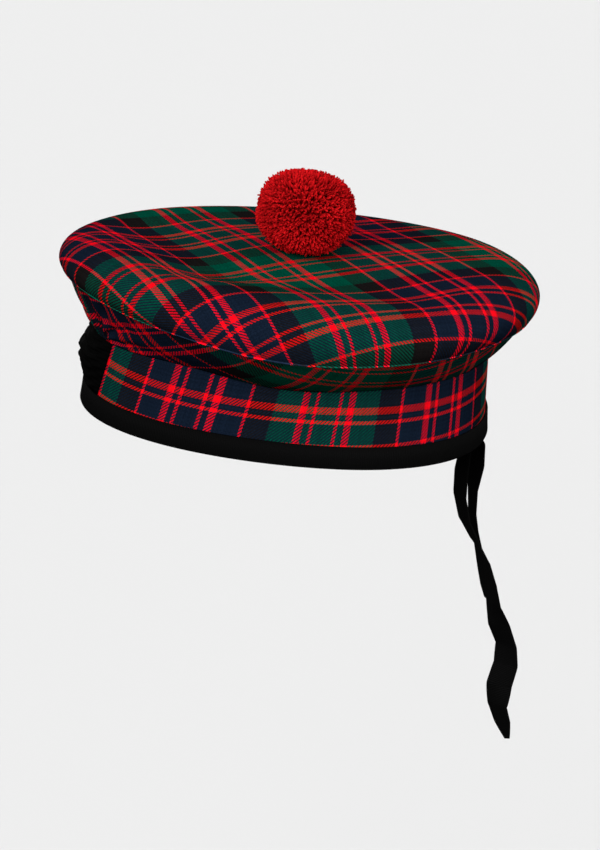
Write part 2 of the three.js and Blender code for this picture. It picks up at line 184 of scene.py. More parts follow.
UNDERSIDE_SAG = 1.6
UNDERSIDE_BREADTH = 35  # from the band out to the seam
BAND_DEGREE = 1.5  # length of one degree along the band
# Folds that fan out over the underside from where the front panel pinches it, just above the band.
# They start at a distance from that place, bend a little on their way, and lift the cloth out and down
PINCH = {"at": 203, "folds": 7, "depth": 1.5, "start": 7, "reach": 34, "bend": 0.06, "out": 0.6, "down": 0.8}
EDGE = {"radius": 0.6, "height": 1.3, "behind": 1.4}  # rolled lower edge of the crown's top


def underside_point(level, degrees):
    """Point of the crown's underside: level is 0 just below the seam and 1 just above the band."""
    level, degrees = np.broadcast_arrays(np.asarray(level, float), np.asarray(degrees, float))
    seam = crown_point(2, degrees) - np.array([0, 0, GAP])
    seam[..., :2] *= 1 - EDGE["behind"] / np.linalg.norm(seam[..., :2], axis=-1, keepdims=True)
    foot = oval_point(RIM, degrees, section("lean", degrees), section("band", degrees) + GAP)
    point = seam + (foot - seam) * level[..., None]
    belly = np.sin(np.pi * level)
    point[..., 2] -= UNDERSIDE_SAG * belly
    gather = sum(fold["depth"] * hump(degrees % 360 - fold["at"], fold["width"]) for fold in GATHERS)
    outward = point[..., :2] / np.linalg.norm(point[..., :2], axis=-1, keepdims=True)
    point[..., :2] -= outward * (gather * belly)[..., None]

    along_band = (degrees % 360 - PINCH["at"]) * BAND_DEGREE
    above_band = (1 - level) * UNDERSIDE_BREADTH
    away = np.hypot(along_band, above_band)
    fan = np.sin(2 * PINCH["folds"] * np.arctan2(above_band, along_band) + PINCH["bend"] * away)
    fade = np.clip(away / PINCH["start"], 0, 1) * hump(away, PINCH["reach"]) * np.sqrt(belly.clip(0))
    fold = PINCH["depth"] * fan * fade
    point[..., :2] += outward * (PINCH["out"] * fold)[..., None]
    point[..., 2] -= PINCH["down"] * fold
    return point


def open_angle(share):
    """Half-angle of the front opening, at a share of the height from the binding up to the crown."""
    return PANEL_HALF_ANGLE + PANEL_FLARE * share


def band_point(level, column):
    """Point of the headband's face: level is 0 at its top edge and 1 at its foot."""

    def angle_at(share):
        return column * (180 - open_angle(share)) / (180 - PANEL_HALF_ANGLE)

    top = section("band", angle_at(1))
    height = top + (BAND_FOOT - top) * level
    above = np.clip((height - BINDING_HEIGHT) / (top - BINDING_HEIGHT), 0, 1)
    below = np.clip(height / BINDING_HEIGHT, 0, 1)
    degrees = angle_at(above)
    lean = section("lean", degrees) - BAND_BEHIND_BINDING - BAND_IN_AT_BINDING
    inset = BAND_BEHIND_BINDING + BAND_IN_AT_BINDING * below + lean * above
    return oval_point(RIM, degrees, inset, height)


# ---- meshes -------------------------------------------------------------------------------


def grid_of(levels, angles, point):
    """Points on a grid of levels and angles."""
    level, angle = np.meshgrid(levels, angles, indexing="ij")
    return point(level, angle)


def along(points):
    """Length along each column of a grid of points, from its first row."""
    steps = np.linalg.norm(np.diff(points, axis=0), axis=2)
    return np.vstack([np.zeros((1, points.shape[1])), np.cumsum(steps, 0)])


def new_piece(name, points, faces, uv=None):
    """Object with a mesh of these points, in millimetres, and a cloth map of one pair for each corner."""
    mesh = bpy.data.meshes.new(name)
    mesh.from_pydata((np.asarray(points) * MM).tolist(), [], faces)
    if uv is not None:
        layer = mesh.uv_layers.new(name="cloth")
        layer.data.foreach_set("uv", np.asarray(uv, np.float32).ravel())
    mesh.validate()
    mesh.shade_smooth()
    piece = bpy.data.objects.new(name, mesh)
    bpy.context.scene.collection.objects.link(piece)
    return piece


def skin(name, points, uv, closed=False, pole=False):
    """Piece on a grid of points. closed joins the last column to the first, and pole gathers row 0.
    The map has one more column than a closed grid has."""
    rows, columns = points.shape[:2]
    first = 1 if pole else 0
    kept = points.reshape(-1, 3)
    if pole:
        kept = np.vstack([kept[:1], kept[columns:]])

    def place(row, column):
        if pole and row == 0:
            return 0
        return (row - first) * columns + column % columns + first

    faces, corners = [], []
    for row in range(rows - 1):
        for column in range(columns if closed else columns - 1):
            spots = [(row, column), (row + 1, column), (row + 1, column + 1), (row, column + 1)]
            if pole and row == 0:
                spots = spots[:3]
            faces.append([place(*spot) for spot in spots])
            corners.extend(uv[spot] for spot in spots)
    return new_piece(name, kept, faces, corners)


def select_only(piece):
    """Selects one object and nothing else."""
    bpy.ops.object.select_all(action="DESELECT")
    piece.select_set(True)
    bpy.context.view_layer.objects.active = piece


def with_modifier(piece, kind, **settings):
    """Adds a modifier to a piece, sets it up and applies it."""
    select_only(piece)
    modifier = piece.modifiers.new(kind.title(), kind)
    for key, value in settings.items():
        setattr(modifier, key, value)
    bpy.ops.object.modifier_apply(modifier=modifier.name)


def finished(piece, material, slot, *nodes):
    """Gives a piece its material and its place on the hat, and hides the solids it stands for."""
    piece.data.materials.append(material)
    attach(piece, "root")
    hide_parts(*nodes)


# ---- materials ----------------------------------------------------------------------------


def linear(code):
    """Linear colour of an sRGB hex value."""
    values = [int(code[n : n + 2], 16) / 255 for n in (0, 2, 4)]
    return [v / 12.92 if v <= 0.04045 else ((v + 0.055) / 1.055) ** 2.4 for v in values]


class Nodes:
    """A new material and the nodes added to it."""

    def __init__(self, name):
        self.material = bpy.data.materials.new(name)
        self.material.use_nodes = True
        self.tree = self.material.node_tree
        self.surface = self.tree.nodes["Principled BSDF"]

    def link(self, socket, value):
        """Links a node's output to a socket, or sets the socket to a plain value."""
        if isinstance(value, bpy.types.NodeSocket):
            self.tree.links.new(value, socket)
        elif socket.type == "RGBA":
            socket.default_value = [*value, 1]
        else:
            socket.default_value = value

    def add(self, kind, inputs, output=0, **settings):
        """Adds a node with its settings and links, and returns one of its outputs."""
        node = self.tree.nodes.new(kind)
        for key, value in settings.items():
            setattr(node, key, value)
        for key, value in inputs.items():
            self.link(node.inputs[key], value)
        return node.outputs[output]

    def finish(self, inputs):
        """Sets up and links the surface."""
        for key, value in inputs.items():
            self.link(self.surface.inputs[key], value)
        return self.material


# Half of the tartan's sett, from the middle of the green ground to the middle of the navy one:
# each stripe starts this many millimetres out, and the sett is mirrored at both middles
HALF_SETT = 64.2
STRIPES = [
    {"start": 0, "dye": "green"},
    {"start": 4.9, "dye": "red"},
    {"start": 6.5, "dye": "green"},
    {"start": 9.6, "dye": "red"},
    {"start": 12.9, "dye": "green"},
    {"start": 25.3, "dye": "black"},
    {"start": 36.7, "dye": "red"},
    {"start": 38.3, "dye": "navy"},
    {"start": 50.8, "dye": "red"},
    {"start": 54.2, "dye": "navy"},
    {"start": 57.4, "dye": "red"},
    {"start": 59.0, "dye": "navy"},
]


def threads(nodes, across, settings, red):
    """Colour and number of the thread at a distance across the cloth, and how high its round side
    stands. No two threads have taken their dye quite alike."""
    dyes = {"green": settings.green, "black": settings.black, "navy": settings.navy, "red": red}
    thread = settings.thread / MM
    count = nodes.add("ShaderNodeMath", {0: across, 1: thread}, operation="DIVIDE")
    number = nodes.add("ShaderNodeMath", {0: count}, operation="FLOOR")
    folded = nodes.add("ShaderNodeMath", {0: across, 1: HALF_SETT}, operation="PINGPONG")
    share = nodes.add("ShaderNodeMath", {0: folded, 1: HALF_SETT}, operation="DIVIDE")
    colour = nodes.add("ShaderNodeValToRGB", {"Fac": share})
    ramp = colour.node.color_ramp
    ramp.interpolation = "CONSTANT"
    while len(ramp.elements) < len(STRIPES):
        ramp.elements.new(1)
    for stop, stripe in zip(ramp.elements, STRIPES):
        stop.position = stripe["start"] / HALF_SETT
        stop.color = [*dyes[stripe["dye"]], 1]
    chance = nodes.add("ShaderNodeTexWhiteNoise", {"W": number}, noise_dimensions="1D")
    shade = nodes.add("ShaderNodeMapRange", {"Value": chance, "To Min": 0.78, "To Max": 1.22})
    shaded = nodes.add("ShaderNodeVectorMath", {0: colour, "Scale": shade}, operation="SCALE")
    height = nodes.add("ShaderNodeMath", {0: across, 1: thread / 2}, operation="PINGPONG")
    return shaded, number, height


def tartan_material(name, settings):
    """Worsted wool 2/2 twill, woven from dyed yarn: stripes of solid colour where a stripe crosses its
    own dye, and slanting lines of the two where it crosses another. Each thread goes over two and
    under two, one step further along in each row, and the thread beneath shines through a little."""
    nodes = Nodes(name)
    cloth = nodes.add("ShaderNodeUVMap", {}, uv_map="cloth")
    u = nodes.add("ShaderNodeSeparateXYZ", {0: cloth})
    warp, warp_number, warp_height = threads(nodes, u, settings, settings.warp_red)
    weft, weft_number, weft_height = threads(nodes, u.node.outputs["Y"], settings, settings.red)
    step = nodes.add("ShaderNodeMath", {0: warp_number, 1: weft_number}, operation="SUBTRACT")
    place = nodes.add("ShaderNodeMath", {0: step, 1: 4}, operation="FLOORED_MODULO")
    warp_over = nodes.add("ShaderNodeMath", {0: place, 1: 1.5}, operation="LESS_THAN")
    woven = nodes.add("ShaderNodeMix", {0: warp_over, 6: weft, 7: warp}, 2, data_type="RGBA")
    beneath = nodes.add("ShaderNodeMix", {0: warp_over, 6: warp, 7: weft}, 2, data_type="RGBA")
    height = nodes.add("ShaderNodeMix", {0: warp_over, 2: weft_height, 3: warp_height})
    fuzz = nodes.add("ShaderNodeTexNoise", {"Vector": cloth, "Scale": 1.3, "Detail": 4, "Roughness": 0.6})
    uneven = {"From Min": 0.3, "From Max": 0.7, "To Min": 0.8, "To Max": 1.2}
    shade = nodes.add("ShaderNodeMapRange", {"Value": fuzz, **uneven})
    # Painted highlight: the crown's rolled edge, marked by the edge attribute, is painted paler for the light
    # its fold catches. The fuzz noise above is the cloth's own uneven dye.
    edge = nodes.add("ShaderNodeAttribute", {}, "Fac", attribute_name="edge")
    uneven_dye_and_edge_highlight = nodes.add("ShaderNodeMath", {0: edge, 1: settings.edge_highlight, 2: shade}, operation="MULTIPLY_ADD")
    lent = {0: beneath, 1: [settings.glow] * 3, 2: (1, 1, 1)}
    through = nodes.add("ShaderNodeVectorMath", lent, operation="MULTIPLY_ADD")
    dyed = nodes.add("ShaderNodeVectorMath", {0: woven, 1: through}, operation="MULTIPLY")
    colour = nodes.add("ShaderNodeVectorMath", {0: dyed, "Scale": uneven_dye_and_edge_highlight}, operation="SCALE")
    bump = nodes.add("ShaderNodeBump", {"Strength": 0.4, "Distance": 0.5 * MM, "Height": height})
    return nodes.finish({"Base Color": colour, "Roughness": 1, "Specular IOR Level": 0, "Normal": bump})


def ribbon_material(name, settings):
    """Black grosgrain ribbon: matt, with fine ribs across its length."""
    nodes = Nodes(name)
    cloth = nodes.add("ShaderNodeUVMap", {}, uv_map="cloth")
    along_it = nodes.add("ShaderNodeSeparateXYZ", {0: cloth})
    rib = nodes.add("ShaderNodeMath", {0: along_it, 1: settings.rib_pitch / MM / 2}, operation="PINGPONG")
    bump = nodes.add("ShaderNodeBump", {"Strength": 0.6, "Distance": 0.8 * MM, "Height": rib})
    matt = {"Roughness": 0.7, "Specular IOR Level": settings.gloss}
    return nodes.finish({"Base Color": settings.black, **matt, "Normal": bump})


def gathered_material(name, settings):
    """Soft black gathered cloth, with a fine grain."""
    nodes = Nodes(name)
    spot = nodes.add("ShaderNodeTexCoord", {}, "Object")
    grain = nodes.add("ShaderNodeTexNoise", {"Vector": spot, "Scale": 900, "Detail": 2})
    bump = nodes.add("ShaderNodeBump", {"Strength": 0.4, "Distance": 0.2 * MM, "Height": grain})
    dull = {"Roughness": 0.75, "Specular IOR Level": settings.gloss}
    return nodes.finish({"Base Color": settings.gathered, **dull, "Normal": bump})


def yarn_material(name, settings):
    """Cut wool yarn, dyed red, a little uneven from strand to strand, and painted darker towards each
    strand's root as painted shade deep inside the ball.
    Its loose fibres catch the light at a flat angle, which gives the ball a soft bright rim."""
    nodes = Nodes(name)
    tone_and_root_shade = nodes.add("ShaderNodeAttribute", {}, "Fac", attribute_name="tone_and_root_shade")
    dye = {0: tone_and_root_shade, 6: settings.deep_red_and_root_shade, 7: settings.bright_red}
    colour = nodes.add("ShaderNodeMix", dye, 2, data_type="RGBA")
    fuzz = {"Sheen Weight": settings.fuzz, "Sheen Roughness": 0.5, "Sheen Tint": settings.bright_red}
    return nodes.finish({"Base Color": colour, "Roughness": 1, "Specular IOR Level": 0, **fuzz})


# ---- settings -----------------------------------------------------------------------------


def colour_property(name, description, code):
    """Colour that a user can change, from its sRGB hex value."""
    return bpy.props.FloatVectorProperty(
        name=name, description=description, subtype="COLOR", size=3, min=0, max=1, default=linear(code)
    )


def length_property(name, description, millimetres):
    """Length that a user can change."""
    kind = {"unit": "LENGTH", "subtype": "DISTANCE", "precision": 4}
    return bpy.props.FloatProperty(name=name, description=description, default=millimetres * MM, **kind)


def share_property(name, description, value):
    """Strength or share, from 0 up, that a user can change."""
    return bpy.props.FloatProperty(name=name, description=description, default=value, min=0)


class TartanSettings(bpy.types.PropertyGroup):
    """Dyes and weave of the tartan"""

    green: colour_property("Green", "Dye of the green ground", "003528")
    black: colour_property("Black", "Dye of the black stripes", "100e0e")
    navy: colour_property("Navy", "Dye of the navy ground", "0c1420")
    red: colour_property("Red", "Dye of the red weft stripes", "a40a0c")
    warp_red: colour_property("Warp red", "Dye of the red warp stripes", "b2041a")
    thread: length_property("Thread", "Thickness of one thread of the weave", 0.46)
    glow: share_property("Glow", "How much of its dye a thread lends to the thread over it", 1.2)
    # Painted highlight: how much paler the crown's rolled edge is painted, for the light its fold catches
    edge_highlight: share_property("Edge highlight", "How much paler the rolled edge of the crown is", 1.6)
    wall: length_property("Cloth wall", "Thickness of the tartan walls", 2.0)


class RibbonSettings(bpy.types.PropertyGroup):
    """Black ribbon and gathered cloth"""

    black: colour_property("Ribbon black", "Colour of the ribbon", "050505")
    gathered: colour_property("Gathered black", "Colour of the ruched panel", "010101")
    gloss: share_property("Gloss", "Strength of the black cloths' shine", 0.02)
    rib_pitch: length_property("Rib pitch", "Distance between the ribs of the ribbon", 0.9)
    thickness: length_property("Ribbon thickness", "Thickness of the tails", 0.6)
    panel_wall: length_property("Panel wall", "Thickness of the ruched panel", 2.0)


class ToorieSettings(bpy.types.PropertyGroup):
    """Yarn of the ball on top"""

    bright_red: colour_property("Bright red", "Colour of the brightest yarn", "b41115")
    # Painted shade: the colour at every strand's root, deep in the ball, and also of the darkest strands
    deep_red_and_root_shade: colour_property("Deep red", "Colour of the darkest yarn", "6c0608")
    fuzz: share_property("Fuzz", "Strength of the loose fibres' sheen", 0.6)
    strands: bpy.props.IntProperty(
        name="Strands", description="Number of cut yarn ends", default=4400, min=100
    )
    yarn: length_property("Yarn", "Thickness of one yarn", 1.15)


class StageSettings(bpy.types.PropertyGroup):
    """Floor and even light"""

    floor: colour_property("Floor", "Colour of the floor as seen", "c7c7c7")
    bounce: colour_property("Bounce", "Colour of the light that the floor sends back", "303030")
    daylight: share_property("Daylight", "Strength of the even light from all sides", 0.4)
    drop: length_property("Floor drop", "Height of the held hat's tails above the floor", 900)


# ---- pieces -------------------------------------------------------------------------------


class BONNET_OT_crown_top(bpy.types.Operator):
    """Adds the top of the crown, down to the edge seam"""

    bl_idname = "bonnet.crown_top"
    bl_label = "Crown top"
    COLUMNS = 300
    EDGE_LEVEL = 1.965  # from this level to the seam the rows lie closer, for the rolled edge
    CLOTH_TURN = 29.2  # the crown's cloth is cut this far round from the hat's own axes
    CLOTH_START = 105.0  # from the middle of the crown to a middle of the green ground

    def execute(self, context):
        settings = context.scene.bonnet_tartan
        flat, roll = np.linspace(0, 1, 45)[:-1], np.linspace(1, 1.96, 54)
        levels = np.concatenate([flat, roll, np.linspace(self.EDGE_LEVEL, 2, 9)])
        angles = np.arange(self.COLUMNS + 1) * 360 / self.COLUMNS
        points = grid_of(levels, angles, crown_point)
        reach = along(points)
        direction = np.arctan2(points[-1, :, 1], points[-1, :, 0] - CROWN["middle"])
        edge = np.clip(1 - (reach[-1] - reach) / EDGE["height"], 0, 1)
        outward = np.stack([np.cos(direction), np.sin(direction)], -1)
        points[..., :2] += outward * (EDGE["radius"] * np.sin(np.pi * edge))[..., None]
        turned = direction - math.radians(self.CLOTH_TURN)
        uv = np.stack([-reach * np.cos(turned), reach * np.sin(turned)], -1)
        uv += (self.CLOTH_START, -self.CLOTH_START)
        piece = skin("crown_top_cloth", points[:, :-1], uv, closed=True, pole=True)
        # Marks the rolled edge, which the tartan material paints paler as a painted highlight
        layer = piece.data.attributes.new("edge", "FLOAT", "POINT")
        on_edge = np.concatenate([[0], (edge[1:, :-1] > 0.05).ravel()])
        layer.data.foreach_set("value", on_edge.astype(np.float32))
        with_modifier(piece, "SOLIDIFY", thickness=settings.wall, offset=-1)
        finished(piece, tartan_material("worsted_tartan_twill_crown", settings), "tartan_crown", "crown_top")
        return {"FINISHED"}


class BONNET_OT_crown_underside(bpy.types.Operator):
    """Adds the underside of the crown, from the edge seam in to the band"""

    bl_idname = "bonnet.crown_underside"
    bl_label = "Crown underside"
    COLUMNS = 360
    CLOTH_TURN = 22.3  # this ring is cut on the bias, turned this far from the hat's own axes
    CLOTH_START = (19.0, 100.6)  # from a middle of the green ground to the middle of the hat
    CLOTH_STRETCH = 1.044  # and eased in as it is sewn

    def execute(self, context):
        settings = context.scene.bonnet_tartan
        angles = np.arange(self.COLUMNS + 1) * 360 / self.COLUMNS
        points = grid_of(np.linspace(0, 1, 30), angles, underside_point)
        turned = np.radians(angles - self.CLOTH_TURN)
        reach = np.linalg.norm(points[:1, :, :2], axis=2) + EDGE["behind"] - along(points)
        uv = np.stack([reach * np.cos(turned), reach * np.sin(turned)], -1) * self.CLOTH_STRETCH
        uv += self.CLOTH_START
        piece = skin("crown_underside_cloth", points[:, :-1], uv, closed=True)
        with_modifier(piece, "SOLIDIFY", thickness=settings.wall, offset=-1)
        material = tartan_material("worsted_tartan_twill_underside", settings)
        finished(piece, material, "tartan_crown", "crown_underside")
        return {"FINISHED"}


class BONNET_OT_headband(bpy.types.Operator):
    """Adds the upright tartan band"""

    bl_idname = "bonnet.headband"
    bl_label = "Headband"
    COLUMNS = 360
    BAND_START = 34.6  # from the front, along the band, to its end, half-way up
    WARP_START = 157.2  # from the front, along the band, to a middle of the green ground
    EASE = 3.7e-4  # the cloth is eased in a little away from that middle
    EASED = 75  # as far as this to each side of it
    END_EASE = 0.12  # and drawn in more where it meets the front panel
    END_EASED = 62  # as far round as this from the front
    WEFT_START = 16.0  # lowest height of a middle of the navy ground, on the wearer's left
    WEFT_LOWEST = 103  # angle from the back at which it is lowest
    WEFT_RISE = 5.6  # and how far it rises towards the front and the back

    def execute(self, context):
        settings = context.scene.bonnet_tartan
        angles = np.linspace(PANEL_HALF_ANGLE - 180, 180 - PANEL_HALF_ANGLE, self.COLUMNS)
        points = grid_of(np.linspace(0, 1, 24), angles, band_point)
        round_hat = self.BAND_START + along(points[12:13].transpose(1, 0, 2))[:, 0]
        u = round_hat - self.WARP_START
        end = np.maximum(0, self.END_EASED - round_hat)
        u = u + self.EASE * np.clip(u, -self.EASED, self.EASED) ** 2 + self.END_EASE * end
        rise = self.WEFT_RISE * (1 - np.cos(np.radians(np.abs(angles) - self.WEFT_LOWEST)))
        v = points[..., 2] - self.WEFT_START - rise + HALF_SETT
        piece = skin("headband_cloth", points, np.stack(np.broadcast_arrays(u[None], v), -1))
        with_modifier(piece, "SOLIDIFY", thickness=settings.wall, offset=-1)
        finished(piece, tartan_material("worsted_tartan_twill_band", settings), "tartan_band", "headband")
        return {"FINISHED"}


class BONNET_OT_rim_binding(bpy.types.Operator):
    """Adds the ribbon folded over the lower edge of the band"""

    bl_idname = "bonnet.rim_binding"
    bl_label = "Rim binding"
    COLUMNS = 300
    FOLDED = 4.6  # from the outside of the folded ribbon to its inside, at the fold
    WALL = 1  # thickness of each side of it
    CORNER = 0.3  # the fold's corners are cut off by this much
    WELDED = 0.01  # points closer than this become one, so the first and last of its section join

    def execute(self, context):
        settings = context.scene.bonnet_ribbon
        lean, height, inner = BAND_IN_AT_BINDING, BINDING_HEIGHT, self.FOLDED
        wall, corner = self.WALL, self.CORNER
        profile = [
            (lean + wall, height),
            (lean, height),
            (lean * 0.5, height * 0.5),
            (0, wall),
            (corner, corner),
            (wall, 0),
            (inner - wall, 0),
            (inner - corner, corner),
            (inner, wall),
            (inner + lean, height - wall),
            (inner - wall + lean, height - wall),
            (inner - wall, wall),
            (wall, wall),
            (lean + wall, height),
        ]
        angles = np.arange(self.COLUMNS + 1) * 360 / self.COLUMNS
        points = np.stack([oval_point(RIM, angles, inset, float(z)) for inset, z in profile])
        round_hat = along(points[2:3].transpose(1, 0, 2))[:, 0]
        uv = np.stack(np.broadcast_arrays(round_hat[None], -along(points)), -1)
        piece = skin("rim_binding_ribbon", points[:, :-1], uv, closed=True)
        with_modifier(piece, "WELD", merge_threshold=self.WELDED * MM)
        finished(piece, ribbon_material("grosgrain_ribbon_binding", settings), "ribbed_ribbon", "rim_binding")
        return {"FINISHED"}


# Puffs of the gathered cloth, from the crown down to the binding, in shares of the panel's height
PUFFS = [
    {"at": 0.12, "out": 2.4, "width": 0.16},
    {"at": 0.46, "out": 6.3, "width": 0.24},
    {"at": 0.82, "out": 2.2, "width": 0.18},
]


class BONNET_OT_ruched_panel(bpy.types.Operator):
    """Adds the gathered black cloth at the front"""

    bl_idname = "bonnet.ruched_panel"
    bl_label = "Ruched panel"
    CLEAR = 0.1  # clearance to each end of the band, in degrees
    RECESS = 1  # its edges lie this far behind the face of the band
    WIDE = {"depth": 0.8, "rows": 5.5}  # gathers across it
    FINE = {"depth": 0.4, "rows": 11}  # and the small ones that cross them
    TUCK = 0.8  # its foot goes this far down into the folded binding
    SEWN = 0.05  # share of its height over which it fills out from each seam

    def execute(self, context):
        settings = context.scene.bonnet_ribbon

        def panel_point(level, across):
            degrees = 180 + across * (open_angle(1 - level) - self.CLEAR)
            top = section("band", degrees) + GAP
            height = top + (BINDING_HEIGHT - self.TUCK - top) * level
            foot = BAND_BEHIND_BINDING + BAND_IN_AT_BINDING
            lean = section("lean", degrees) * (1 - level) + foot * level
            fullness = (1 - across**4) * np.clip(np.minimum(level, 1 - level) / self.SEWN, 0, 1)
            puff = sum(row["out"] * hump(level - row["at"], row["width"]) for row in PUFFS)
            wide = level * self.WIDE["rows"] + 0.7 * across**2 + 0.2 * np.sin(8 * across)
            fine = level * self.FINE["rows"] - 1.4 * across + 0.3 * np.sin(5 * across + 9 * level)
            ripple = self.WIDE["depth"] * np.sin(math.tau * wide)
            ripple += self.FINE["depth"] * np.sin(math.tau * fine)
            return oval_point(RIM, degrees, lean + self.RECESS - (puff + ripple) * fullness, height)

        points = grid_of(np.linspace(0, 1, 80), np.linspace(-1, 1, 120), panel_point)
        piece = skin("ruched_panel_cloth", points, points[..., 1:])
        with_modifier(piece, "SOLIDIFY", thickness=settings.panel_wall, offset=-1)
        finished(piece, gathered_material("gathered_black_cloth", settings), "gathered_cloth", "ruched_panel")
        return {"FINISHED"}


# Middle line of each tail from its sewn end down: turn is how far the ribbon's face has twisted,
# 0 facing the back of the hat and 90 facing its side, and width its breadth
LONG_TAIL = [
    {"x": 93.2, "y": -8, "z": 9, "turn": -7, "width": 13},
    {"x": 93.0, "y": -8, "z": -2, "turn": -4, "width": 13},
    {"x": 90.3, "y": -8, "z": -12, "turn": 23, "width": 13},
    {"x": 89.6, "y": -7, "z": -22, "turn": 28, "width": 13},
    {"x": 90.0, "y": -6, "z": -34, "turn": 27, "width": 13},
    {"x": 93.4, "y": -7, "z": -46, "turn": 26, "width": 13},
    {"x": 99.4, "y": -8, "z": -56, "turn": 22, "width": 13},
    {"x": 106.2, "y": -8, "z": -66, "turn": 14, "width": 13},
    {"x": 110.2, "y": -7, "z": -78, "turn": 18, "width": 13},
    {"x": 112.0, "y": -5, "z": -90, "turn": 32, "width": 13},
    {"x": 116.0, "y": -3, "z": -102, "turn": 58, "width": 13},
    {"x": 120.6, "y": -1, "z": -113, "turn": 52, "width": 13},
    {"x": 121.4, "y": 0, "z": -124, "turn": 66, "width": 13},
    {"x": 119.2, "y": 0, "z": -135, "turn": 78, "width": 13},
    {"x": 119.2, "y": 0, "z": -146, "turn": 46, "width": 13},
    {"x": 122.6, "y": 0, "z": -155, "turn": 48, "width": 11},
    {"x": 126.0, "y": 0, "z": -164, "turn": 56, "width": 3},
]
SHORT_TAIL = [
    {"x": 93.4, "y": 8, "z": 9, "turn": 7, "width": 13},
    {"x": 93.6, "y": 8, "z": -1, "turn": 10, "width": 13},
    {"x": 96.8, "y": 8, "z": -10, "turn": 33, "width": 13},
    {"x": 97.5, "y": 8, "z": -21, "turn": 31, "width": 13},
    {"x": 96.6, "y": 8, "z": -34, "turn": 20, "width": 13},
    {"x": 97.4, "y": 8, "z": -46, "turn": 16, "width": 13},
    {"x": 99.0, "y": 9, "z": -56, "turn": 20, "width": 13},
    {"x": 102.4, "y": 9, "z": -66, "turn": 17, "width": 13},
    {"x": 105.4, "y": 10, "z": -78, "turn": 20, "width": 13},
    {"x": 107.6, "y": 10, "z": -87, "turn": 22, "width": 11},
    {"x": 108.8, "y": 10, "z": -93, "turn": 22, "width": 4},
]


class BONNET_OT_tails(bpy.types.Operator):
    """Adds the two ribbon tails that hang behind"""

    bl_idname = "bonnet.tails"
    bl_label = "Ribbon tails"
    ACROSS = 15
    STEPS = 12  # for each row of its table

    def execute(self, context):
        settings = context.scene.bonnet_ribbon
        material = ribbon_material("grosgrain_ribbon_tails", settings)
        for name, table in (("tail_long", LONG_TAIL), ("tail_short", SHORT_TAIL)):
            places = np.linspace(0, len(table) - 1, len(table) * self.STEPS)
            rows = np.arange(len(table))
            columns = ([row[key] for row in table] for key in ("x", "y", "z", "turn", "width"))
            x, y, z, turn, width = (np.interp(places, rows, column) for column in columns)
            spine = np.stack([x, y, z], -1)
            tangent = np.gradient(spine, axis=0)
            tangent /= np.linalg.norm(tangent, axis=1, keepdims=True)
            across = np.stack([np.sin(np.radians(turn)), -np.cos(np.radians(turn)), 0 * turn], -1)
            across -= tangent * (across * tangent).sum(1, keepdims=True)
            across /= np.linalg.norm(across, axis=1, keepdims=True)
            share = np.linspace(0.5, -0.5, self.ACROSS)
            points = spine[:, None] + across[:, None] * share[None, :, None] * width[:, None, None]
            length = along(spine[:, None])[:, 0]
            uv = np.stack(np.broadcast_arrays(length[:, None], share[None] * width[:, None]), -1)
            piece = skin(name + "_ribbon", points, uv)
            with_modifier(piece, "SOLIDIFY", thickness=settings.thickness, offset=0)
            finished(piece, material, "ribbed_ribbon", name)
        return {"FINISHED"}


